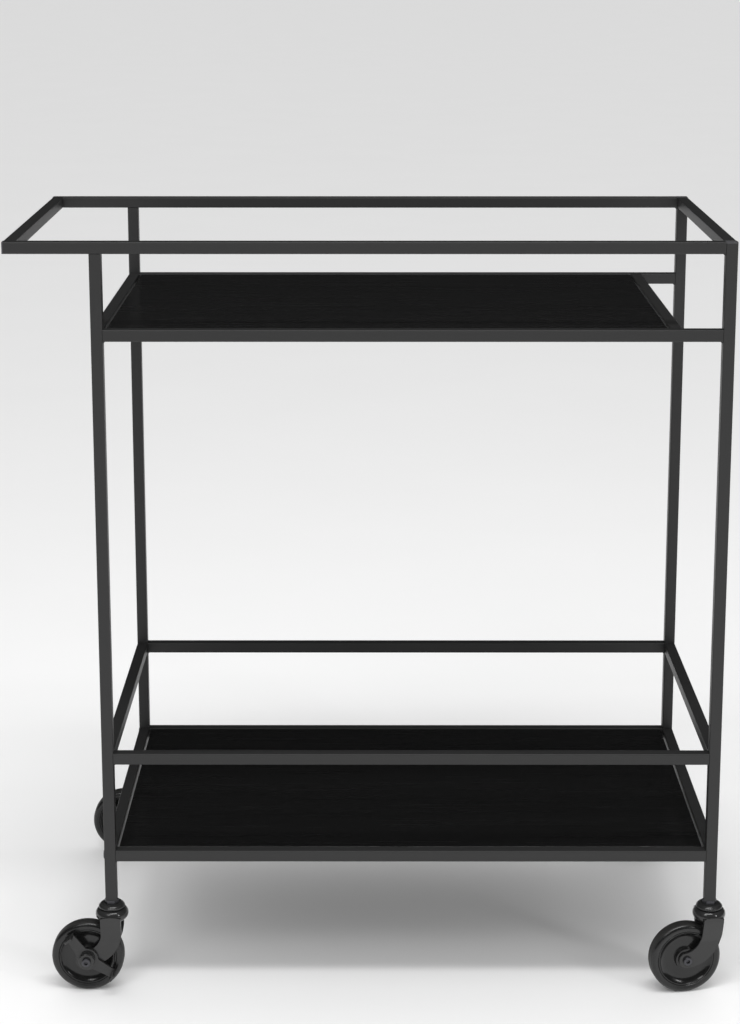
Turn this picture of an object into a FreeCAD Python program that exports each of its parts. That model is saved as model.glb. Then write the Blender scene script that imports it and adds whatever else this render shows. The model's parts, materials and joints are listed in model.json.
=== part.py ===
import FreeCAD, Part
import math
import os
from FreeCAD import Placement, Rotation, Vector

# A bar cart: a frame of square steel tube with a raised top rail whose left end is the push handle, an upper
# and a lower shelf board, a guard rail round the lower shelf, and four swivel casters, two of them with brakes.
# X runs along the cart, from the handle end towards the plain end. Y runs from front to back, and Z is up.
# Every length is in millimetres.

# ---- Frame ------------------------------------------------------------------------------------------------
TUBE = 12.0                  # outer side of the square tube
WALL = 1.0                   # its wall
CORNER_RADIUS = 1.2          # its outer corner radius
FRAME_LENGTH = 642.0         # over the posts, along X
FRAME_DEPTH = 360.0          # over the posts, along Y
HEIGHT = 800.0               # floor to the top of the top rail
HANDLE_REACH = 85.7          # how far the handle stands out past the left posts
UPPER_SHELF_TOP = 711.6
GUARD_RAIL_TOP = 264.4
LOWER_SHELF_TOP = 156.8
POST_FOOT = 100.7            # height of the posts' lower ends
UPPER_BAR_INSET = 51.4       # right posts' outer face to the upper shelf's right bar, outer face
CAP_THICKNESS = 1.4          # flange of the plugs that close the open tube ends
CAP_SPIGOT = 9.6             # how far their inner part goes into the tube
FIT_GAP = 0.05               # gap on each side of a plug, insert or thread

# ---- Shelf boards -----------------------------------------------------------------------------------------
BOARD_THICKNESS = 6.0
BOARD_DROP = 0.5             # board's face below the bars' top faces
BOARD_GAP_FRONT = 0.8        # gap to the front and back bars
BOARD_GAP_SIDE = 2.5         # gap to the side bars
BOARD_EDGE_RADIUS = 0.5
TAB_LENGTH, TAB_REACH, TAB_THICKNESS = 20.0, 14.0, 1.5
TAB_SPREAD = 0.37            # end tabs' distance from the middle, as a share of the board's length
WOOD_SCREW_RADIUS, WOOD_SCREW_DEPTH = 1.75, 4.5
WOOD_HEAD_RADIUS, WOOD_HEAD_HEIGHT = 3.5, 2.0

# ---- Frame screws -----------------------------------------------------------------------------------------
SCREW_RADIUS = 2.5
SCREW_HEAD_RADIUS = 4.75
SCREW_HEAD_HEIGHT = 1.0      # low head of the two shelf screws
COUNTERSINK_DEPTH = SCREW_HEAD_RADIUS - SCREW_RADIUS
SCREW_LENGTH = 30.0
SOCKET_ACROSS_FLATS = 3.0
INSERT_LENGTH = 22.0         # threaded plug that the frame screws go into

# ---- Casters, each in its own frame: stem on the Z axis, floor at Z 0, wheel trailing towards -X -------------
WHEEL_RADIUS = 38.0
TRAIL = 26.0                 # stem axis to axle
TREAD_HALF_WIDTH = 8.2
TREAD_FLAT_HALF_WIDTH = 3.9
TREAD_INNER_RADIUS = 30.3
SHOULDER_RADIUS = 33.6       # where the tread's rounded shoulder starts
HUB_RADIUS = 11.5
HUB_HALF_LENGTH = 8.9
FORK_SHEET = 2.2
FORK_INNER = 9.2             # half the gap between the legs at the axle
FORK_OUTER = FORK_INNER + FORK_SHEET
LEG_HALF_WIDTH = 10.8
LEG_BOSS_RADIUS = 8.6
AXLE_RADIUS = 3.0
AXLE_HEAD_RADIUS, AXLE_HEAD_HEIGHT = 4.6, 3.0
AXLE_SOCKET, AXLE_SOCKET_DEPTH = 4.0, 2.0    # across flats, and depth
AXLE_NUT, AXLE_NUT_HEIGHT = 10.0, 5.0        # across flats, and height
SLEEVE_RADIUS = 5.0
RUNNING_GAP = 0.07           # radial clearance of what turns on the sleeve, the stem or the axle
PART_GAP = 0.3               # clearance between the faces of what turns
STEM_RADIUS = 4.0
STEM_TOP = POST_FOOT + 30.0
STEM_HEX = 13.0              # across flats
SOCKET_LENGTH = 32.0         # threaded plug in the post's lower end
CROWN_BOTTOM, CROWN_TOP = 81.5, 84.5
BEAD_TOP = 91.2
RACE_TOP = 96.9
RIVET_RADIUS, RIVET_HEIGHT = 7.0, 3.0
BALL_RADIUS = 2.5
BALL_RING_RADIUS = 8.4
BALL_COUNT = 10
BALL_LIFT = 0.2              # balls' clearance over the crown

# ---- Brake lever: a rocker on the axle's near end ---------------------------------------------------------
LEVER_SHEET = 2.5
LEVER_DISC_RADIUS = 12.0
LEVER_BOSS_RADIUS = 8.5
LEVER_BOSS_HEIGHT = 5.3
LEVER_ARM_ANGLES = (125.0, -31.0)    # the two arms' directions, from +X towards +Z
LEVER_REACH = 32.5
LEVER_ROOT_WIDTH, LEVER_TIP_WIDTH = 14.0, 9.0
LEVER_TAB_DEPTH = 11.5       # how far the bent ends stand out

# Each caster's corner signs, its rest angle about the stem, and whether it has a brake.
CASTERS = {
    "front_left": {"side": (-1, -1), "yaw": 0.0, "brake": True},
    "front_right": {"side": (1, -1), "yaw": 10.0, "brake": False},
    "back_left": {"side": (-1, 1), "yaw": 0.0, "brake": True},
    "back_right": {"side": (1, 1), "yaw": -10.0, "brake": False},
}

HALF_TUBE = TUBE / 2
POST_X = FRAME_LENGTH / 2 - HALF_TUBE      # centre lines of the posts
POST_Y = FRAME_DEPTH / 2 - HALF_TUBE
TOP_MID = HEIGHT - HALF_TUBE
UPPER_MID = UPPER_SHELF_TOP - HALF_TUBE
GUARD_MID = GUARD_RAIL_TOP - HALF_TUBE
LOWER_MID = LOWER_SHELF_TOP - HALF_TUBE
LEFT_POST_TOP = HEIGHT - TUBE
HANDLE_X = -FRAME_LENGTH / 2 - HANDLE_REACH + HALF_TUBE
INNER_X = POST_X - HALF_TUBE               # inner faces of the posts
INNER_Y = POST_Y - HALF_TUBE
UPPER_BAR_X = FRAME_LENGTH / 2 - UPPER_BAR_INSET - HALF_TUBE
X, Y, Z = Vector(1, 0, 0), Vector(0, 1, 0), Vector(0, 0, 1)


# ---- Shapes used throughout -------------------------------------------------------------------------------
def block(low, high):
    """A box between two opposite corners."""
    size = high - low
    return Part.makeBox(size.x, size.y, size.z, low)


def along(shape, axis):
    """The edges of a shape that run along an axis."""
    return [e for e in shape.Edges if abs(e.tangentAt(e.FirstParameter).dot(axis)) > 0.99]


def square_tube(start, end, axis):
    """Square tube between two points on its centre line, with open ends and rounded outer corners."""
    across = Vector(1, 1, 1) - axis
    outside = block(start - across * HALF_TUBE, end + across * HALF_TUBE)
    inside = across * (HALF_TUBE - WALL)
    bore = block(start - inside - axis, end + inside + axis)
    return outside.makeFillet(CORNER_RADIUS, along(outside, axis)).cut(bore)


def tube_x(x0, x1, y, z):
    return square_tube(Vector(x0, y, z), Vector(x1, y, z), X)


def tube_y(x, y0, y1, z):
    return square_tube(Vector(x, y0, z), Vector(x, y1, z), Y)


def tube_z(x, y, z0, z1):
    return square_tube(Vector(x, y, z0), Vector(x, y, z1), Z)


def plug(start, end, axis):
    """Solid square plug that fills a tube between two points on its centre line."""
    across = (Vector(1, 1, 1) - axis) * (HALF_TUBE - WALL - FIT_GAP)
    return block(start - across, end + across)


def hexagonal_nut(centre, across_flats, height, axis):
    """Hexagonal prism whose corners are chamfered at the far end."""
    reach, flat = across_flats / math.sqrt(3), 0.48 * across_flats
    chamfer = (reach - flat) * math.tan(math.radians(30))
    limit = turned(section([(0, 0), (reach, 0), (reach, height - chamfer), (flat, height), (0, height)]))
    nut = hexagon(Vector(0, 0, 0), across_flats, height, Z).common(limit)
    nut.Placement = Placement(centre, Rotation(Z, axis))
    return nut


def hexagon(centre, across_flats, height, axis):
    """Hexagonal prism from a point along an axis."""
    radius = across_flats / math.sqrt(3)
    corners = [Vector(radius, 0, 0)]
    for k in range(1, 7):
        angle = math.radians(60 * k)
        corners.append(Vector(radius * math.cos(angle), radius * math.sin(angle), 0))
    prism = Part.Face(Part.makePolygon(corners)).extrude(Z * height)
    prism.Placement = Placement(centre, Rotation(Z, axis))
    return prism


def turned(edges):
    """Solid of revolution about Z, from the edges of a closed section in the XZ plane."""
    return Part.Face(Part.Wire(edges)).revolve(Vector(0, 0, 0), Z, 360)


def section(points, arcs=()):
    """Closed section in the XZ plane through (x, z) points. arcs gives, for the stretch that starts at
    a point's index, a further point that a round stretch passes through."""
    arcs = dict(arcs)
    places = [Vector(x, 0, z) for x, z in points]
    edges = []
    for k, start in enumerate(places):
        end = places[(k + 1) % len(places)]
        if k in arcs:
            middle = Vector(arcs[k][0], 0, arcs[k][1])
            edges.append(Part.Arc(start, middle, end).toShape())
        else:
            edges.append(Part.LineSegment(start, end).toShape())
    return edges


def group(shapes):
    """Separate solids in one node."""
    return Part.makeCompound(list(shapes))


# ---- Frame tubes ------------------------------------------------------------------------------------------
def posts():
    """Left posts end under the top rails. Right posts reach the top, where the rails butt against them."""
    nodes = {}
    for end, y in (("front", -POST_Y), ("back", POST_Y)):
        left = tube_z(-POST_X, y, POST_FOOT, LEFT_POST_TOP)
        through = Part.makeCylinder(SCREW_RADIUS + FIT_GAP, TUBE, Vector(-POST_X - HALF_TUBE, y, LOWER_MID), X)
        nodes[f"post_{end}_left"] = left.cut(through)
        nodes[f"post_{end}_right"] = tube_z(POST_X, y, POST_FOOT, HEIGHT - CAP_THICKNESS)
    return nodes


def top_ring():
    """The rail round the top. It runs on past the left posts, and its left end is the push handle."""
    nodes = {"push_handle": tube_y(HANDLE_X, -INNER_Y, INNER_Y, TOP_MID)}
    nodes["top_rail_right"] = tube_y(POST_X, -INNER_Y, INNER_Y, TOP_MID)
    open_end = HANDLE_X - HALF_TUBE + CAP_THICKNESS
    for end, y in (("front", -POST_Y), ("back", POST_Y)):
        rail = tube_x(open_end, INNER_X, y, TOP_MID)
        shank_hole = Part.makeCylinder(SCREW_RADIUS + FIT_GAP, TUBE, Vector(-POST_X, y, LEFT_POST_TOP))
        nodes[f"top_rail_{end}"] = rail.cut(shank_hole).cut(countersink(-POST_X, y, FIT_GAP))
    return nodes


def four_bars(name, z, right_x):
    """Four tubes in one plane: front and back ones between the posts, and a left and a right one."""
    return {
        f"{name}_front": tube_x(-INNER_X, INNER_X, -POST_Y, z),
        f"{name}_back": tube_x(-INNER_X, INNER_X, POST_Y, z),
        f"{name}_left": tube_y(-POST_X, -INNER_Y, INNER_Y, z),
        f"{name}_right": tube_y(right_x, -INNER_Y, INNER_Y, z),
    }


def end_caps():
    """Plugs that close the rails' open ends at the handle, and the tops of the right posts."""
    rail_caps, post_caps = [], []
    for y in (-POST_Y, POST_Y):
        outer = Vector(HANDLE_X - HALF_TUBE, y, TOP_MID)
        rail_caps.append(cap(outer, X))
        post_caps.append(cap(Vector(POST_X, y, HEIGHT), -Z))
    return {"rail_end_caps": group(rail_caps), "post_top_caps": group(post_caps)}


def cap(outer, inwards):
    """A square flange with a spigot that goes into the tube, from its outer face inwards."""
    reach = CAP_THICKNESS + CAP_SPIGOT
    flange = Part.makeBox(TUBE, TUBE, CAP_THICKNESS, Vector(-HALF_TUBE, -HALF_TUBE, 0))
    flange = flange.makeFillet(CORNER_RADIUS, along(flange, Z))
    spigot = plug(Vector(0, 0, CAP_THICKNESS), Vector(0, 0, reach), Z)
    whole = flange.fuse(spigot)
    whole.Placement = Placement(outer, Rotation(Z, inwards))
    return whole


# ---- Frame screws -----------------------------------------------------------------------------------------
def countersink(x, y, extra=0.0):
    """Cone of a countersunk head whose face is flush with the top rail."""
    low = HEIGHT - COUNTERSINK_DEPTH
    return Part.makeCone(SCREW_RADIUS + extra, SCREW_HEAD_RADIUS + extra, COUNTERSINK_DEPTH, Vector(x, y, low))


def screws():
    """Two countersunk screws go down through the top rail into the left posts. Two low-headed ones go
    through the left posts into the lower shelf's front and back bars."""
    top, side, inserts = [], [], []
    for y in (-POST_Y, POST_Y):
        shank = Part.makeCylinder(SCREW_RADIUS, SCREW_LENGTH, Vector(-POST_X, y, HEIGHT), -Z)
        key = hexagon(Vector(-POST_X, y, HEIGHT), SOCKET_ACROSS_FLATS, COUNTERSINK_DEPTH, -Z)
        top.append(shank.fuse(countersink(-POST_X, y)).cut(key))

        face = Vector(-POST_X - HALF_TUBE, y, LOWER_MID)
        head = Part.makeCylinder(SCREW_HEAD_RADIUS, SCREW_HEAD_HEIGHT, face, -X)
        rim = [e for e in head.Edges if abs(e.CenterOfMass.x - face.x + SCREW_HEAD_HEIGHT) < 0.01]
        head = head.makeFillet(SCREW_HEAD_HEIGHT * 0.7, rim)
        shank = Part.makeCylinder(SCREW_RADIUS, SCREW_LENGTH, face, X)
        key = hexagon(face - X * SCREW_HEAD_HEIGHT, SOCKET_ACROSS_FLATS, 2 * SCREW_HEAD_HEIGHT, X)
        side.append(head.fuse(shank).cut(key))

        post_top = Vector(-POST_X, y, LEFT_POST_TOP)
        post_bore = Part.makeCylinder(SCREW_RADIUS + FIT_GAP, INSERT_LENGTH, post_top, -Z)
        inserts.append(plug(post_top - Z * INSERT_LENGTH, post_top, Z).cut(post_bore))
        bar_end = Vector(-INNER_X, y, LOWER_MID)
        bar_bore = Part.makeCylinder(SCREW_RADIUS + FIT_GAP, INSERT_LENGTH, bar_end, X)
        inserts.append(plug(bar_end, bar_end + X * INSERT_LENGTH, X).cut(bar_bore))
    return {"top_rail_screws": group(top), "shelf_screws": group(side), "screw_inserts": group(inserts)}


# ---- Shelf boards -----------------------------------------------------------------------------------------
def board_with_fixings(right_face, shelf_top):
    """One board, the steel tabs under its front and back edges, and the screws through them."""
    low = Vector(-INNER_X + BOARD_GAP_SIDE, -INNER_Y + BOARD_GAP_FRONT, shelf_top - BOARD_DROP - BOARD_THICKNESS)
    high = Vector(right_face - BOARD_GAP_SIDE, INNER_Y - BOARD_GAP_FRONT, shelf_top - BOARD_DROP)
    board = block(low, high)
    upper_edges = [e for e in board.Edges if abs(e.CenterOfMass.z - high.z) < 0.01]
    board = board.makeFillet(BOARD_EDGE_RADIUS, upper_edges)
    tabs, fixings = [], []
    middle, length = (low.x + high.x) / 2, high.x - low.x
    for share in (-TAB_SPREAD, 0.0, TAB_SPREAD):
        for side in (-1, 1):
            x = middle + share * length
            bar_y, tip_y = side * INNER_Y, side * (INNER_Y - TAB_REACH)
            tab = block(
                Vector(x - TAB_LENGTH / 2, min(bar_y, tip_y), low.z - TAB_THICKNESS),
                Vector(x + TAB_LENGTH / 2, max(bar_y, tip_y), low.z),
            )
            under = Vector(x, (bar_y + tip_y) / 2, low.z - TAB_THICKNESS)
            hole = Part.makeCylinder(WOOD_SCREW_RADIUS + FIT_GAP, TAB_THICKNESS + WOOD_SCREW_DEPTH + 0.3, under)
            head = Part.makeCylinder(WOOD_HEAD_RADIUS, WOOD_HEAD_HEIGHT, under, -Z)
            shank = Part.makeCylinder(WOOD_SCREW_RADIUS, TAB_THICKNESS + WOOD_SCREW_DEPTH, under)
            tabs.append(tab.cut(hole))
            board = board.cut(hole)
            fixings.append(head.fuse(shank))
    return board, tabs, fixings


def boards():
    upper, upper_tabs, upper_screws = board_with_fixings(UPPER_BAR_X - HALF_TUBE, UPPER_SHELF_TOP)
    lower, lower_tabs, lower_screws = board_with_fixings(INNER_X, LOWER_SHELF_TOP)
    return {
        "upper_shelf_board": upper,
        "lower_shelf_board": lower,
        "board_tabs": group(upper_tabs + lower_tabs),
        "board_screws": group(upper_screws + lower_screws),
    }


# ---- Caster parts that stay with the frame ----------------------------------------------------------------
def stem():
    """Threaded stem with a hexagon that stops against the post, and the rivet head that carries the fork."""
    rivet_top = CROWN_BOTTOM - PART_GAP
    shaft = Part.makeCylinder(STEM_RADIUS, STEM_TOP - rivet_top, Vector(0, 0, rivet_top))
    rivet = Part.makeCylinder(RIVET_RADIUS, RIVET_HEIGHT, Vector(0, 0, rivet_top), -Z)
    lower_rim = [e for e in rivet.Edges if abs(e.CenterOfMass.z - rivet_top + RIVET_HEIGHT) < 0.01]
    rivet = rivet.makeFillet(RIVET_HEIGHT * 0.6, lower_rim)
    collar = hexagon(Vector(0, 0, RACE_TOP), STEM_HEX, POST_FOOT - RACE_TOP, Z)
    return shaft.fuse([rivet, collar])


def upper_race():
    """Turned cap over the balls, fixed to the stem. Its rim overhangs the fork's bead."""
    bore = STEM_RADIUS + FIT_GAP
    ball_top = CROWN_TOP + BALL_LIFT + 2 * BALL_RADIUS + FIT_GAP
    points = [(bore, ball_top), (11.2, ball_top), (11.2, 91.9), (13.0, 92.0), (13.0, 94.8), (9.0, RACE_TOP),
              (bore, RACE_TOP)]
    return turned(section(points, {3: (13.8, 93.4), 4: (11.3, 96.3)}))


def balls():
    """The swivel's ring of bearing balls."""
    height = CROWN_TOP + BALL_LIFT + BALL_RADIUS
    ring = []
    for k in range(BALL_COUNT):
        angle = 2 * math.pi * k / BALL_COUNT
        place = Vector(BALL_RING_RADIUS * math.cos(angle), BALL_RING_RADIUS * math.sin(angle), height)
        ring.append(Part.makeSphere(BALL_RADIUS, place))
    return ring


def stem_socket():
    """Threaded plug in the post's lower end."""
    body = plug(Vector(0, 0, POST_FOOT), Vector(0, 0, POST_FOOT + SOCKET_LENGTH), Z)
    return body.cut(Part.makeCylinder(STEM_RADIUS + FIT_GAP, SOCKET_LENGTH, Vector(0, 0, POST_FOOT)))


# ---- Fork -------------------------------------------------------------------------------------------------
def arc_from_vertical(start, end):
    """The point halfway along the arc that leaves start vertically, downwards, and ends at end."""
    run, drop = end[0] - start[0], start[1] - end[1]
    radius = (run * run + drop * drop) / (2 * abs(run))
    towards = math.copysign(1.0, run)
    half_turn = math.atan2(drop, radius - abs(run)) / 2
    return (
        start[0] + towards * (radius - radius * math.cos(half_turn)),
        start[1] - radius * math.sin(half_turn),
    )


def fork_legs():
    """Two pressed legs. Seen from the side each sweeps back from under the stem to a round boss at the axle.
    Seen from behind they start at the crown's bead and close in on the wheel's hub."""
    axle_x, axle_z = -TRAIL, WHEEL_RADIUS
    shoulder_z, front_bend, back_bend = 85.2, (-LEG_HALF_WIDTH, 66.0), (LEG_HALF_WIDTH, 68.0)
    boss_angle = math.radians(120)
    boss_top = (axle_x + LEG_BOSS_RADIUS * math.cos(boss_angle), axle_z + LEG_BOSS_RADIUS * math.sin(boss_angle))
    boss_low = (axle_x, axle_z - LEG_BOSS_RADIUS)
    points = [(-LEG_HALF_WIDTH, shoulder_z), front_bend, boss_top, boss_low, back_bend, (LEG_HALF_WIDTH, shoulder_z)]
    arcs = {
        1: arc_from_vertical(front_bend, boss_top),
        2: (axle_x - LEG_BOSS_RADIUS, axle_z),
        3: arc_from_vertical(back_bend, boss_low),
        5: (0.0, shoulder_z + 1.4),
    }
    side_view = Part.Face(Part.Wire(section(points, arcs)))
    reach = 2 * LEG_HALF_WIDTH
    slab = side_view.extrude(Y * 2 * reach)
    slab.translate(Y * -reach)

    flare_low, flare_high = 58.0, 80.5
    flare_outer = 17.4
    outer = [(12.4, BEAD_TOP), (flare_outer - 0.4, BEAD_TOP), (flare_outer + 0.5, shoulder_z - 0.6),
             (flare_outer, flare_high), (FORK_OUTER, flare_low), (FORK_OUTER, 0.0)]
    inner = [(FORK_INNER, 0.0), (FORK_INNER, flare_low), (flare_outer - FORK_SHEET, flare_high), (12.4, 83.0)]
    strip = Part.Face(Part.makePolygon([Vector(-2 * TRAIL, -y, z) for y, z in outer + inner + outer[:1]]))
    near = strip.extrude(X * 3 * TRAIL).common(slab)
    return [near, near.mirror(Vector(0, 0, 0), Y)]


def fork():
    """Crown with a rolled bead round the balls, and the two legs."""
    bore = STEM_RADIUS + RUNNING_GAP
    points = [(bore, CROWN_BOTTOM), (13.0, CROWN_BOTTOM), (14.6, 79.6), (13.4, BEAD_TOP), (12.2, BEAD_TOP),
              (12.2, CROWN_TOP), (bore, CROWN_TOP)]
    crown = turned(section(points, {2: (17.25, 86.0)}))
    whole = crown.fuse(fork_legs()).removeSplitter()
    axle_hole = Part.makeCylinder(AXLE_RADIUS + FIT_GAP, 4 * FORK_OUTER, axle_point(-2 * FORK_OUTER), Y)
    return whole.cut(axle_hole)


# ---- Wheel ------------------------------------------------------------------------------------------------
def axle_point(y):
    """A point on the axle, by its place along Y."""
    return Vector(-TRAIL, y, WHEEL_RADIUS)


def on_axle(shape):
    """A shape turned about Z at the origin, laid on the axle."""
    shape.Placement = Placement(axle_point(0.0), Rotation(Z, Y))
    return shape


def tread():
    """Tyre with rounded shoulders. It narrows to the groove beside the core."""
    w, flat, inner, outer = TREAD_HALF_WIDTH, TREAD_FLAT_HALF_WIDTH, TREAD_INNER_RADIUS, WHEEL_RADIUS
    corner = (SHOULDER_RADIUS + 3.1, flat + 3.0)
    points = [(inner, -6.9), (30.8, -7.5), (SHOULDER_RADIUS, -w), (outer, -flat), (outer, flat),
              (SHOULDER_RADIUS, w), (30.8, 7.5), (inner, 6.9)]
    return on_axle(turned(section(points, {2: (corner[0], -corner[1]), 4: corner})))


def wheel_core():
    """Moulded centre: a long hub, a dished web on each side and a rim under the tyre."""
    bore, hub, half = SLEEVE_RADIUS + RUNNING_GAP, HUB_RADIUS, HUB_HALF_LENGTH
    web = 3.4
    near = [(bore, half), (hub, half), (hub + 0.7, web + 0.6), (21.5, web), (29.0, 7.1), (29.9, 7.3),
            (TREAD_INNER_RADIUS, 6.9)]
    far = [(r, -y) for r, y in reversed(near)]
    return on_axle(turned(section(near + far, {3: (25.7, web + 1.0), 9: (25.7, -web - 1.0)})))


def sleeve():
    """Steel spacer between the legs, on which the wheel turns."""
    half = FORK_INNER - FIT_GAP
    outer = Part.makeCylinder(SLEEVE_RADIUS, 2 * half, axle_point(-half), Y)
    return outer.cut(Part.makeCylinder(AXLE_RADIUS + FIT_GAP, 2 * half, axle_point(-half), Y))


def head_face(brake):
    """How far along -Y the inner face of the axle bolt's head is."""
    if brake:
        return FORK_OUTER + PART_GAP + LEVER_SHEET + LEVER_BOSS_HEIGHT + PART_GAP
    return FORK_OUTER


def axle_bolt(brake):
    """Round socket head on the near side, where a braked caster has its lever, and threaded far end."""
    start, end = -head_face(brake), FORK_OUTER + AXLE_NUT_HEIGHT + 1.0
    shank = Part.makeCylinder(AXLE_RADIUS, end - start, axle_point(start), Y)
    face = start - AXLE_HEAD_HEIGHT
    head = Part.makeCylinder(AXLE_HEAD_RADIUS, AXLE_HEAD_HEIGHT, axle_point(start), -Y)
    rim = [e for e in head.Edges if abs(e.CenterOfMass.y - face) < 0.01]
    head = head.makeFillet(AXLE_HEAD_HEIGHT / 3, rim)
    key = hexagon(axle_point(face), AXLE_SOCKET, AXLE_SOCKET_DEPTH, Y)
    return head.fuse(shank).cut(key)


def axle_nut():
    whole = hexagonal_nut(axle_point(FORK_OUTER), AXLE_NUT, AXLE_NUT_HEIGHT, Y)
    return whole.cut(Part.makeCylinder(AXLE_RADIUS + FIT_GAP, AXLE_NUT_HEIGHT, axle_point(FORK_OUTER), Y))


def brake_lever():
    """Rocker with a round middle, a threaded boss that clamps the fork on the hub, and two bent ends."""
    face = -(FORK_OUTER + PART_GAP)
    plate_end = face - LEVER_SHEET
    whole = Part.makeCylinder(LEVER_DISC_RADIUS, LEVER_SHEET, axle_point(face), -Y)
    boss = Part.makeCylinder(LEVER_BOSS_RADIUS, LEVER_BOSS_HEIGHT, axle_point(plate_end), -Y)
    rim = [e for e in boss.Edges if abs(e.CenterOfMass.y - plate_end + LEVER_BOSS_HEIGHT) < 0.01]
    pieces = [boss.makeFillet(1.2, rim)]
    half_root, half_tip = LEVER_ROOT_WIDTH / 2, LEVER_TIP_WIDTH / 2
    for angle in LEVER_ARM_ANGLES:
        corners = [(0, -half_root), (LEVER_REACH, -half_tip), (LEVER_REACH, half_tip), (0, half_root), (0, -half_root)]
        flat = Part.Face(Part.makePolygon([Vector(a, 0, b) for a, b in corners]))
        arm = flat.extrude(-Y * LEVER_SHEET)
        tab = block(
            Vector(LEVER_REACH - LEVER_SHEET, -LEVER_SHEET - LEVER_TAB_DEPTH, -half_tip),
            Vector(LEVER_REACH, 0, half_tip),
        )
        tab_corners = [e for e in along(tab, X) if e.CenterOfMass.y < -LEVER_TAB_DEPTH]
        arm = arm.fuse(tab.makeFillet(2.0, tab_corners))
        arm.Placement = Placement(axle_point(face), Rotation(-Y, angle))
        pieces.append(arm)
    whole = whole.fuse(pieces).removeSplitter()
    reach = LEVER_SHEET + LEVER_BOSS_HEIGHT
    return whole.cut(Part.makeCylinder(AXLE_RADIUS + RUNNING_GAP, reach, axle_point(face), -Y))


# ---- The whole cart ---------------------------------------------------------------------------------------
def under_post(corner):
    """The place of what is fixed to a post's lower end: on the floor, under the post."""
    side_x, side_y = CASTERS[corner]["side"]
    return Placement(Vector(side_x * POST_X, side_y * POST_Y, 0), Rotation())


def turned_fork(corner):
    """The place of what swivels: under the post, turned by the caster's rest angle."""
    return under_post(corner).multiply(Placement(Vector(0, 0, 0), Rotation(Z, CASTERS[corner]["yaw"])))


def placed(shape, place):
    copy = shape.copy()
    copy.Placement = place.multiply(shape.Placement)
    return copy


def casters():
    nodes = {}
    for corner, caster in CASTERS.items():
        brake = caster["brake"]
        parts = {
            "fork": fork(),
            "axle_bolt": axle_bolt(brake),
            "axle_nut": axle_nut(),
            "axle_sleeve": sleeve(),
            "wheel_core": wheel_core(),
            "tread": tread(),
        }
        if brake:
            parts["brake_lever"] = brake_lever()
        for name, shape in parts.items():
            nodes[f"{name}_{corner}"] = placed(shape, turned_fork(corner))
    fixed = {
        "caster_stems": [stem()],
        "swivel_races": [upper_race()],
        "swivel_balls": balls(),
        "stem_sockets": [stem_socket()],
    }
    for name, shapes in fixed.items():
        nodes[name] = group(placed(shape, under_post(c)) for c in CASTERS for shape in shapes)
    return nodes


def build():
    """Every node of the cart, with the frame's middle over the origin."""
    nodes = {}
    nodes.update(posts())
    nodes.update(top_ring())
    nodes.update(four_bars("upper_shelf_bar", UPPER_MID, UPPER_BAR_X))
    nodes.update(four_bars("guard_rail", GUARD_MID, POST_X))
    nodes.update(four_bars("lower_shelf_bar", LOWER_MID, POST_X))
    nodes.update(end_caps())
    nodes.update(screws())
    nodes.update(boards())
    nodes.update(casters())
    return nodes


def shift_to_origin(nodes):
    """The move that puts the origin on the floor, under the middle of the cart's box."""
    box = Part.makeCompound(list(nodes.values())).optimalBoundingBox(False, False)
    return Vector(-box.Center.x, -box.Center.y, -box.ZMin)


NODES = build()
SHIFT = shift_to_origin(NODES)
os.makedirs("parts", exist_ok=True)
for node_name, node_shape in NODES.items():
    node_shape.translate(SHIFT)
    node_shape.exportStep(f"parts/{node_name}.step")
print(len(NODES), "nodes, moved by", SHIFT)
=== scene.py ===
import json
import math

import bmesh
import bpy
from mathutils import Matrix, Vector

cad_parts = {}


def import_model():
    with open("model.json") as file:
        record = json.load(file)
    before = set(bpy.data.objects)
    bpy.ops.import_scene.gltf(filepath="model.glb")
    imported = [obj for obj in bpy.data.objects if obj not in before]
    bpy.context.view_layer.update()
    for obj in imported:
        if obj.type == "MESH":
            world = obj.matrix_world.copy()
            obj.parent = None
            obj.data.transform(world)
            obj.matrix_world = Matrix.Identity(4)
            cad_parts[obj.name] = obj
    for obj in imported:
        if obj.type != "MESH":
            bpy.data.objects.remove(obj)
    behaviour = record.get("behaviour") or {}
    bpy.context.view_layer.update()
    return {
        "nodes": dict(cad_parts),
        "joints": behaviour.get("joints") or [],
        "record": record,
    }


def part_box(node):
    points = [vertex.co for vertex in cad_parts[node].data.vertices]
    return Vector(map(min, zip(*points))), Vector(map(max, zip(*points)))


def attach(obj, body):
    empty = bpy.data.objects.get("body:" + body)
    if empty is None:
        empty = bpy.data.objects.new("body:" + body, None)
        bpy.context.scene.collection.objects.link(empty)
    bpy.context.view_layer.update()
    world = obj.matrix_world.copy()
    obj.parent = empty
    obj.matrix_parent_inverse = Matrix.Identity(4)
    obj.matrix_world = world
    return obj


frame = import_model()

# The looks of a black steel bar cart: powder-coated square tube, stained boards and glossy casters, on
# a plain pale floor. Lengths are in metres and colours are linear.

MM = 0.001
NODES = frame["nodes"]
CORNERS = ("front_left", "front_right", "back_left", "back_right")


# ---- Node helpers: most add a node to a tree and return the socket that it puts out --------------
def add(tree, kind, **settings):
    """A new node with its settings."""
    node = tree.nodes.new(kind)
    for name, value in settings.items():
        setattr(node, name, value)
    return node


def feed(tree, socket, value):
    """Gives a socket a link if value is a socket, and a constant otherwise."""
    if isinstance(value, bpy.types.NodeSocket):
        tree.links.new(value, socket)
    else:
        socket.default_value = value


def object_point(tree):
    """The surface point in the object's own space, which is the cart's frame at rest."""
    return add(tree, "ShaderNodeTexCoord").outputs["Object"]


def stretched(tree, point, scale):
    node = add(tree, "ShaderNodeMapping")
    feed(tree, node.inputs["Vector"], point)
    node.inputs["Scale"].default_value = scale
    return node.outputs["Vector"]


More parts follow.
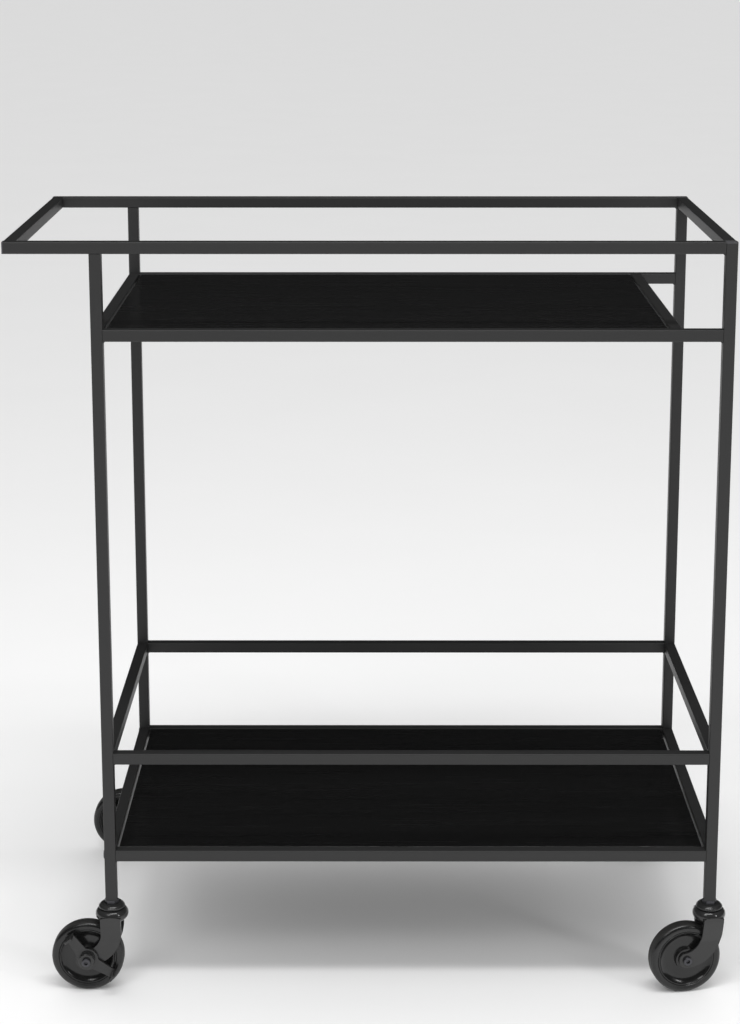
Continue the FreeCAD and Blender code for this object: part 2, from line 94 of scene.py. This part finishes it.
def noise(tree, point, scale, detail=2.0, roughness=0.5, distortion=0.0):
    """Cloudy values round 0.5. The scale is roughly the number of clouds in a metre."""
    node = add(tree, "ShaderNodeTexNoise")
    feed(tree, node.inputs["Vector"], point)
    node.inputs["Scale"].default_value = scale
    node.inputs["Detail"].default_value = detail
    node.inputs["Roughness"].default_value = roughness
    node.inputs["Distortion"].default_value = distortion
    return node.outputs["Fac"]


def remap(tree, value, source, target):
    """Moves a value from one (low, high) range to another, smoothly, and holds it at the ends."""
    node = add(tree, "ShaderNodeMapRange", interpolation_type="SMOOTHSTEP")
    for k, given in enumerate((value, *source, *target)):
        feed(tree, node.inputs[k], given)
    return node.outputs["Result"]


def math_node(tree, operation, a, b=0.0):
    node = add(tree, "ShaderNodeMath", operation=operation)
    feed(tree, node.inputs[0], a)
    feed(tree, node.inputs[1], b)
    return node.outputs[0]


def vector_node(tree, operation, a, b=(0, 0, 0)):
    node = add(tree, "ShaderNodeVectorMath", operation=operation)
    feed(tree, node.inputs[0], a)
    feed(tree, node.inputs[1], b)
    return node.outputs["Value" if operation in ("DOT_PRODUCT", "LENGTH") else "Vector"]


def blend_colour(tree, factor, a, b):
    node = add(tree, "ShaderNodeMix", data_type="RGBA")
    feed(tree, node.inputs["Factor"], factor)
    feed(tree, node.inputs["A"], a)
    feed(tree, node.inputs["B"], b)
    return node.outputs["Result"]


def bump(tree, height, distance, strength, under=None):
    """A normal with relief as deep as distance, laid over another normal where one is given."""
    node = add(tree, "ShaderNodeBump")
    feed(tree, node.inputs["Height"], height)
    node.inputs["Distance"].default_value = distance
    node.inputs["Strength"].default_value = strength
    if under is not None:
        tree.links.new(under, node.inputs["Normal"])
    return node.outputs["Normal"]


def up_facing(tree):
    """How far the surface faces upwards, from 0 to 1."""
    normal = add(tree, "ShaderNodeNewGeometry").outputs["Normal"]
    split = add(tree, "ShaderNodeSeparateXYZ")
    feed(tree, split.inputs[0], normal)
    return remap(tree, split.outputs["Z"], (0.5, 1.0), (0.0, 1.0))


def grey(value, warmth=0.0):
    """A colour with equal channels, or a slightly warmer one."""
    return (value * (1 + warmth), value, value * (1 - warmth), 1.0)


def finish_material(name, colour, roughness, normal, constants=()):
    """Gives the Principled shader three inputs, and sets others from (name, number) pairs."""
    material = bpy.data.materials[name]
    tree = material.node_tree
    shader = tree.nodes["Principled BSDF"]
    feed(tree, shader.inputs["Base Color"], colour)
    feed(tree, shader.inputs["Roughness"], roughness)
    if normal is not None:
        tree.links.new(normal, shader.inputs["Normal"])
    for socket, value in constants:
        shader.inputs[socket].default_value = value
    return material


def start_material(name):
    """A new material's node tree."""
    material = bpy.data.materials.new(name)
    material.use_nodes = True
    return material.node_tree


# ---- Materials -----------------------------------------------------------------------------------
def powder_coat():
    """Satin black powder coat: fine orange peel, faint cloudy variation, and a trace of dust on top."""
    tree = start_material("powder_coat")
    point = object_point(tree)
    peel = noise(tree, point, 900.0, 2.0)
    lumps = noise(tree, point, 220.0, 2.0)
    clouds = noise(tree, point, 14.0, 4.0, 0.6)
    specks = noise(tree, point, 2600.0, 1.0)
    dust = math_node(tree, "MULTIPLY", up_facing(tree), remap(tree, clouds, (0.45, 0.75), (0.0, 0.25)))
    base = blend_colour(tree, clouds, grey(0.0030), grey(0.0050))
    base = blend_colour(tree, remap(tree, specks, (0.66, 0.74), (0.0, 0.5)), base, grey(0.015))
    base = blend_colour(tree, dust, base, grey(0.014, 0.04))
    rough = remap(tree, clouds, (0.3, 0.7), (0.25, 0.36))
    fine = bump(tree, peel, 0.08 * MM, strength=0.8)
    normal = bump(tree, lumps, 0.14 * MM, strength=0.6, under=fine)
    return finish_material("powder_coat", base, rough, normal, (("Specular IOR Level", 0.44),))


def stained_board():
    """Thin lacquered board, stained black, with its grain along X and open pores."""
    tree = start_material("stained_board")
    point = object_point(tree)
    along_grain = stretched(tree, point, (5.0, 420.0, 60.0))
    grain = noise(tree, along_grain, 1.0, 5.0, 0.6, 0.15)
    pores = noise(tree, stretched(tree, point, (22.0, 1500.0, 200.0)), 1.0, 2.0, 0.5)
    bands = noise(tree, stretched(tree, point, (1.2, 42.0, 10.0)), 1.0, 3.0, 0.55, 0.3)
    pore_depth = remap(tree, pores, (0.56, 0.70), (0.0, 1.0))
    base = blend_colour(tree, grain, grey(0.0028), grey(0.0075))
    base = blend_colour(tree, remap(tree, bands, (0.35, 0.7), (0.0, 0.5)), base, grey(0.0025))
    base = blend_colour(tree, pore_depth, base, grey(0.0015))
    rough = remap(tree, grain, (0.3, 0.7), (0.19, 0.28))
    height = math_node(tree, "SUBTRACT", math_node(tree, "MULTIPLY", grain, 0.5), pore_depth)
    return finish_material("stained_board", base, rough, bump(tree, height, 0.06 * MM, strength=0.5))


def glossy_steel():
    """Fork, brake lever and race: pressed steel with a thick glossy black coat, slightly wavy."""
    tree = start_material("caster_steel")
    point = object_point(tree)
    waves = noise(tree, point, 160.0, 2.0)
    peel = noise(tree, point, 700.0, 2.0)
    smears = noise(tree, point, 60.0, 4.0, 0.65)
    base = blend_colour(tree, smears, grey(0.0035), grey(0.0060))
    rough = remap(tree, smears, (0.35, 0.7), (0.25, 0.40))
    fine = bump(tree, peel, 0.02 * MM, strength=0.4)
    normal = bump(tree, waves, 0.08 * MM, strength=0.4, under=fine)
    lacquer = (
        ("Specular IOR Level", 0.05),
        ("Coat Weight", 1.0),
        ("Coat Roughness", 0.06),
        ("Coat IOR", 1.46),
    )
    return finish_material("caster_steel", base, rough, normal, lacquer)


def blackened_steel():
    """Bolts, nuts and stems: black oxide on machined steel, a little worn and oily."""
    tree = start_material("blackened_steel")
    point = object_point(tree)
    turning = noise(tree, stretched(tree, point, (900.0, 900.0, 2600.0)), 1.0, 2.0)
    wear = remap(tree, noise(tree, point, 500.0, 4.0, 0.7), (0.5, 0.72), (0.0, 1.0))
    base = blend_colour(tree, wear, grey(0.020), grey(0.075, 0.05))
    rough = remap(tree, noise(tree, point, 260.0, 3.0), (0.3, 0.7), (0.22, 0.36))
    normal = bump(tree, turning, 0.03 * MM, strength=0.4)
    return finish_material("blackened_steel", base, rough, normal, (("Metallic", 0.85),))


def bright_steel():
    """Bearing balls and wood screws: zinc-plated steel with fine scratches."""
    tree = start_material("bright_steel")
    point = object_point(tree)
    scratches = noise(tree, stretched(tree, point, (300.0, 4000.0, 4000.0)), 1.0, 3.0, 0.6)
    stains = noise(tree, point, 220.0, 3.0, 0.6)
    base = blend_colour(tree, stains, grey(0.22), grey(0.36, 0.01))
    rough = remap(tree, scratches, (0.3, 0.75), (0.24, 0.40))
    normal = bump(tree, scratches, 0.01 * MM, strength=0.5)
    return finish_material("bright_steel", base, rough, normal, (("Metallic", 1.0),))


def plastic(name, value, low, high):
    """Moulded plastic with a fine eroded texture."""
    tree = start_material(name)
    point = object_point(tree)
    erosion = noise(tree, point, 2200.0, 3.0, 0.6)
    flow = noise(tree, stretched(tree, point, (60.0, 90.0, 40.0)), 1.0, 3.0, 0.5, 0.6)
    base = blend_colour(tree, flow, grey(value * 0.85), grey(value * 1.2))
    rough = remap(tree, flow, (0.3, 0.7), (low, high))
    return finish_material(name, base, rough, bump(tree, erosion, 0.04 * MM, strength=0.5))


AXLES = {c: next(j for j in frame["joints"] if j["name"] == f"wheel_spin_{c}") for c in CORNERS}


def round_axle(tree, corner):
    """Distance from a wheel's axle line, and distance along it from the wheel's middle."""
    offset = vector_node(tree, "SUBTRACT", object_point(tree), AXLES[corner]["pos_m"])
    axis = AXLES[corner]["axis"]
    radius = vector_node(tree, "LENGTH", vector_node(tree, "CROSS_PRODUCT", offset, axis))
    return radius, vector_node(tree, "DOT_PRODUCT", offset, axis)


def ring_noise(tree, radius, across, scale, detail):
    """Noise that is the same all round the axle, as turned marks in a mould are."""
    place = add(tree, "ShaderNodeCombineXYZ")
    feed(tree, place.inputs["X"], radius)
    feed(tree, place.inputs["Y"], across)
    return noise(tree, place.outputs[0], scale, detail)


def wheel_plastic(corner):
    """Glossy moulded wheel centre, with the faint turned rings and flow marks of its mould."""
    name = f"wheel_plastic_{corner}"
    tree = start_material(name)
    rings = ring_noise(tree, *round_axle(tree, corner), 1500.0, 2.0)
    flow = noise(tree, object_point(tree), 70.0, 4.0, 0.6, 0.8)
    base = blend_colour(tree, flow, grey(0.0075), grey(0.0105))
    rough = remap(tree, flow, (0.3, 0.7), (0.15, 0.24))
    fine = bump(tree, rings, 0.03 * MM, strength=0.35)
    return finish_material(name, base, rough, bump(tree, flow, 0.2 * MM, strength=0.35, under=fine))


ROLLING_EDGE = (36.8 * MM, 37.8 * MM)


def tread_rubber(corner):
    """Black tyre: glossy shoulders, and a duller, dusty, finely scuffed band where it rolls."""
    name = f"tread_rubber_{corner}"
    tree = start_material(name)
    point = object_point(tree)
    radius, across = round_axle(tree, corner)
    scuffs = noise(tree, point, 900.0, 5.0, 0.7)
    band = remap(tree, radius, ROLLING_EDGE, (0.0, 1.0))
    dusty = math_node(tree, "MULTIPLY", band, remap(tree, scuffs, (0.42, 0.7), (0.15, 1.0)))
    base = blend_colour(tree, noise(tree, point, 90.0, 3.0), grey(0.0075), grey(0.0110))
    base = blend_colour(tree, dusty, base, grey(0.032, 0.05))
    scuffed = remap(tree, scuffs, (0.3, 0.7), (0.20, 0.30))
    rough = math_node(tree, "ADD", scuffed, remap(tree, band, (0.0, 1.0), (0.0, 0.3)))
    rings = bump(tree, ring_noise(tree, radius, across, 1200.0, 2.0), 0.03 * MM, strength=0.4)
    return finish_material(name, base, rough, bump(tree, scuffs, 0.03 * MM, strength=0.5, under=rings))


COAT = powder_coat()
WOOD = stained_board()
CASTER = glossy_steel()
OXIDE = blackened_steel()
BRIGHT = bright_steel()
CAP = plastic("cap_plastic", 0.020, 0.38, 0.50)
INNER = plastic("inner_plastic", 0.045, 0.45, 0.55)

SLOT_MATERIALS = {
    "powder_coat": COAT,
    "black_wood": WOOD,
    "caster_steel": CASTER,
    "blackened_steel": OXIDE,
    "bright_steel": BRIGHT,
    "cap_plastic": CAP,
    "inner_plastic": INNER,
}
WHEEL_MATERIALS = {"wheel_core": wheel_plastic, "tread": tread_rubber}
NODE_MATERIALS = {f"{part}_{c}": make(c) for part, make in WHEEL_MATERIALS.items() for c in CORNERS}
for part in frame["record"]["subparts"]:
    node = NODES[part["node"]]
    node.data.materials.clear()
    own_material = NODE_MATERIALS.get(part["node"])
    node.data.materials.append(own_material or SLOT_MATERIALS[part["material_slot"]])


# ---- Edges ---------------------------------------------------------------------------------------
EDGE_WIDTHS = {
    "fork": 0.7 * MM,
    "brake_lever": 0.6 * MM,
    "axle_nut": 0.15 * MM,
    "axle_bolt": 0.12 * MM,
}
SAME_POINT = 0.002 * MM
SHARPEST_KEPT = math.radians(38)
LARGE_FACE_WEIGHT = 60


def soften_edges(node_name, width):
    """Rounds a CAD node's sharp edges a little, so that they catch the light as real ones do."""
    node = NODES[node_name]
    weld = node.modifiers.new("weld", "WELD")
    weld.merge_threshold = SAME_POINT
    round_off = node.modifiers.new("bevel", "BEVEL")
    round_off.width = width
    round_off.segments = 3
    round_off.limit_method = "ANGLE"
    round_off.angle_limit = SHARPEST_KEPT
    round_off.offset_type = "OFFSET"
    round_off.use_clamp_overlap = True
    shade = node.modifiers.new("shade", "WEIGHTED_NORMAL")
    shade.weight = LARGE_FACE_WEIGHT
    shade.keep_sharp = False


for name in NODES:
    for start, width in EDGE_WIDTHS.items():
        if name.startswith(start):
            soften_edges(name, width)


# ---- Welds ---------------------------------------------------------------------------------------
WELD_RADIUS = 1.2 * MM
WELD_STEP = 0.35 * MM
WELD_RIPPLES = 9
WELD_RIPPLE_DEPTH = 0.10
WELD_SIDES = 12
WELD_END_TAPER = 0.96
WELD_TAPER_POWER = 6


def weld_bead(bm, start, end):
    """A rippled bead along the line from start to end, which is the inside corner between two tubes."""
    run = end - start
    axis = run.normalized()
    side = axis.orthogonal()
    turn = axis.cross(side)
    steps = round(run.length / WELD_STEP)
    rings = []
    for k in range(steps + 1):
        part = k / steps
        ripple = 1 + WELD_RIPPLE_DEPTH * math.sin(2 * math.pi * WELD_RIPPLES * part)
        taper = math.sqrt(1 - (2 * part - 1) ** WELD_TAPER_POWER * WELD_END_TAPER)
        radius = WELD_RADIUS * ripple * taper
        angles = (2 * math.pi * j / WELD_SIDES for j in range(WELD_SIDES))
        ring = [start + part * run + radius * (math.cos(a) * side + math.sin(a) * turn) for a in angles]
        rings.append([bm.verts.new(point) for point in ring])
    for near, far in zip(rings, rings[1:]):
        for j in range(WELD_SIDES):
            after = (j + 1) % WELD_SIDES
            bm.faces.new((near[j], near[after], far[after], far[j])).smooth = True
    bm.faces.new(rings[0][::-1])
    bm.faces.new(rings[-1])


def welds(bar, ends):
    """The beads under a bar where it meets other tubes: at its low end (0), high end (1) or both."""
    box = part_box(bar)
    low, high = box
    bm = bmesh.new()
    for end in ends:
        if high.x - low.x > high.y - low.y:
            x = box[end].x
            start, stop = Vector((x, low.y, low.z)), Vector((x, high.y, low.z))
        else:
            y = box[end].y
            start, stop = Vector((low.x, y, low.z)), Vector((high.x, y, low.z))
        inset = (stop - start).normalized() * WELD_RADIUS
        weld_bead(bm, start + inset, stop - inset)
    mesh = bpy.data.meshes.new(f"weld_{bar}")
    bm.to_mesh(mesh)
    bm.free()
    mesh.materials.append(COAT)
    bead = bpy.data.objects.new(f"weld_{bar}", mesh)
    bpy.context.scene.collection.objects.link(bead)
    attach(bead, "frame")


SIDES = ("front", "back", "left", "right")
WELDED_BOTH_ENDS = (
    *(f"guard_rail_{side}" for side in SIDES),
    *(f"lower_shelf_bar_{side}" for side in SIDES),
    *(f"upper_shelf_bar_{side}" for side in ("front", "back", "left")),
    "top_rail_right",
)
for bar in WELDED_BOTH_ENDS:
    welds(bar, (0, 1))
for bar in ("top_rail_front", "top_rail_back"):
    welds(bar, (1,))


# ---- Floor, light and camera ---------------------------------------------------------------------
FLOOR_REACH = 40.0
SKY_BRIGHTNESS = 0.95
MIRRORED_HEIGHTS = (0.45, 0.95)
MIRRORED_BRIGHTNESS = (0.02, 0.12)
LAMPS = {
    "overhead": {
        "place": (0.1, -0.9, 2.4),
        "aim": (0.0, -0.1, 0.3),
        "width": 1.7,
        "height": 0.24,
        "power": 24.0,
    },
    "key": {
        "place": (-1.3, -2.2, 2.6),
        "aim": (0.0, 0.0, 0.3),
        "width": 1.1,
        "height": 0.7,
        "power": 12.0,
    },
    "side": {
        "place": (2.3, -1.9, 1.6),
        "aim": (0.0, 0.0, 0.3),
        "width": 0.30,
        "height": 1.0,
        "power": 12.0,
    },
}
CAMERA_PLACE = (-0.0034, -2.2783, 1.1127)
CAMERA_DOWN_DEGREES = 11.562
CAMERA_TURN_DEGREES = 0.058
CAMERA_SENSOR = 36.0
CAMERA_LENS = 75.57
CAMERA_SHIFT = -0.15
CAMERA_CLIP_END = 200.0


def floor():
    """A wide pale plane, so that its edge is far away in every view."""
    mesh = bpy.data.meshes.new("floor")
    x = y = FLOOR_REACH
    corners = [(-x, -y, 0), (x, -y, 0), (x, y, 0), (-x, y, 0)]
    mesh.from_pydata(corners, [], [(0, 1, 2, 3)])
    plane = bpy.data.objects.new("floor", mesh)
    bpy.context.scene.collection.objects.link(plane)
    tree = start_material("floor")
    mottle = noise(tree, object_point(tree), 3.0, 3.0)
    base = blend_colour(tree, mottle, grey(0.80), grey(0.82))
    mesh.materials.append(finish_material("floor", base, 0.9, None))


def softbox(name, place, aim, width, height, power):
    """A flat rectangular lamp that stands at place and faces aim."""
    lamp = bpy.data.lights.new(name, "AREA")
    lamp.shape = "RECTANGLE"
    lamp.size = width
    lamp.size_y = height
    lamp.energy = power
    lamp_object = bpy.data.objects.new(name, lamp)
    lamp_object.location = place
    lamp_object.rotation_euler = (Vector(aim) - Vector(place)).to_track_quat("-Z", "Y").to_euler()
    bpy.context.scene.collection.objects.link(lamp_object)


def world():
    """A bright even sky for matt surfaces, which reflections see as dark with a paler top."""
    sky = bpy.data.worlds.new("studio")
    bpy.context.scene.world = sky
    sky.use_nodes = True
    sky.cycles.sampling_method = "NONE"
    tree = sky.node_tree
    back = tree.nodes["Background"]
    path = add(tree, "ShaderNodeLightPath")
    direction = add(tree, "ShaderNodeTexCoord").outputs["Generated"]
    split = add(tree, "ShaderNodeSeparateXYZ")
    feed(tree, split.inputs[0], direction)
    overhead = remap(tree, split.outputs["Z"], MIRRORED_HEIGHTS, MIRRORED_BRIGHTNESS)
    mirrored = blend_colour(tree, overhead, grey(0.0), grey(1.0))
    seen = blend_colour(tree, path.outputs["Is Glossy Ray"], grey(SKY_BRIGHTNESS), mirrored)
    feed(tree, back.inputs["Color"], seen)
    back.inputs["Strength"].default_value = 1.0


def camera():
    """The photograph's viewpoint, looking a little down at the cart's front."""
    lens = bpy.data.cameras.new("camera")
    lens.sensor_width = CAMERA_SENSOR
    lens.lens = CAMERA_LENS
    lens.shift_y = CAMERA_SHIFT
    lens.clip_end = CAMERA_CLIP_END
    eye = bpy.data.objects.new("camera", lens)
    eye.location = CAMERA_PLACE
    tilt = math.radians(90 - CAMERA_DOWN_DEGREES)
    eye.rotation_euler = (tilt, 0.0, math.radians(CAMERA_TURN_DEGREES))
    bpy.context.scene.collection.objects.link(eye)
    bpy.context.scene.camera = eye


bpy.context.scene.view_settings.view_transform = "Standard"
floor()
world()
for name, settings in LAMPS.items():
    softbox(name, **settings)
camera()
